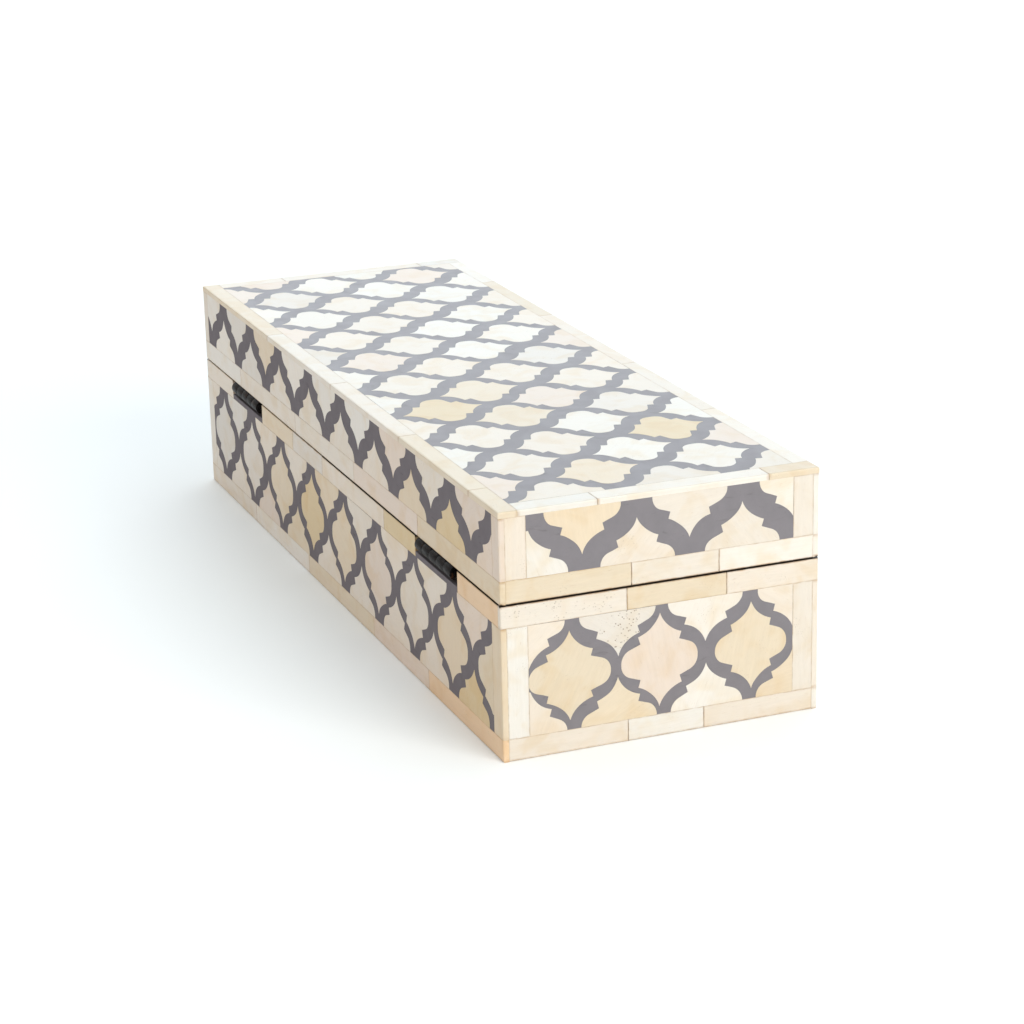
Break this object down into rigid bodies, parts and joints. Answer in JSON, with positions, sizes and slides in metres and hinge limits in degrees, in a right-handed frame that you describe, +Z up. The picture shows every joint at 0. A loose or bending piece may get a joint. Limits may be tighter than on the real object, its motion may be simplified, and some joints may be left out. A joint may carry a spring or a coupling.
{
  "type": "inlaid wooden box",
  "caption": "Long rectangular wooden box with a hinged lid, skinned with interlocking pointed bone tiles set in grey resin and framed by bone strips.",
  "frame": {"origin": "middle of the underside of the closed box's base", "axes": "+Z up, +X along the length, +Y towards the hinged back"},
  "size_m": [0.3048, 0.1028, 0.0762],
  "materials": {
    "wood": "satin oiled",
    "bone_tiles": "polished bone",
    "bone_strips": "polished bone",
    "resin_ground": "polished cast resin",
    "hinge_iron": "blackened, worn",
    "screw_steel": "dulled"
  },
  "bodies": {
    "base": {"base_bottom_board": "wood", "base_front_wall": "wood", "base_back_wall": "wood", "base_left_wall": "wood", "base_right_wall": "wood", "base_front_tiles": "bone_tiles", "base_front_resin": "resin_ground", "base_front_border": "bone_strips", "base_back_tiles": "bone_tiles", "base_back_resin": "resin_ground", "base_back_border": "bone_strips", "base_left_tiles": "bone_tiles", "base_left_resin": "resin_ground", "base_left_border": "bone_strips", "base_right_tiles": "bone_tiles", "base_right_resin": "resin_ground", "base_right_border": "bone_strips", "left_hinge_base_leaf": "hinge_iron", "left_hinge_pin": "hinge_iron", "left_hinge_base_screws": "screw_steel", "right_hinge_base_leaf": "hinge_iron", "right_hinge_pin": "hinge_iron", "right_hinge_base_screws": "screw_steel"},
    "lid": {"lid_top_board": "wood", "lid_front_wall": "wood", "lid_back_wall": "wood", "lid_left_wall": "wood", "lid_right_wall": "wood", "lid_front_tiles": "bone_tiles", "lid_front_resin": "resin_ground", "lid_front_border": "bone_strips", "lid_back_tiles": "bone_tiles", "lid_back_resin": "resin_ground", "lid_back_border": "bone_strips", "lid_left_tiles": "bone_tiles", "lid_left_resin": "resin_ground", "lid_left_border": "bone_strips", "lid_right_tiles": "bone_tiles", "lid_right_resin": "resin_ground", "lid_right_border": "bone_strips", "lid_top_tiles": "bone_tiles", "lid_top_resin": "resin_ground", "lid_top_border": "bone_strips", "left_hinge_lid_leaf": "hinge_iron", "left_hinge_lid_screws": "screw_steel", "right_hinge_lid_leaf": "hinge_iron", "right_hinge_lid_screws": "screw_steel"}
  },
  "joints": [
    {"name": "lid_hinge", "type": "hinge", "parent": "base", "child": "lid", "pos_m": [0, 0.0499, 0.0461], "axis": [-1, 0, 0], "range_deg": [0, 120]}
  ]
}
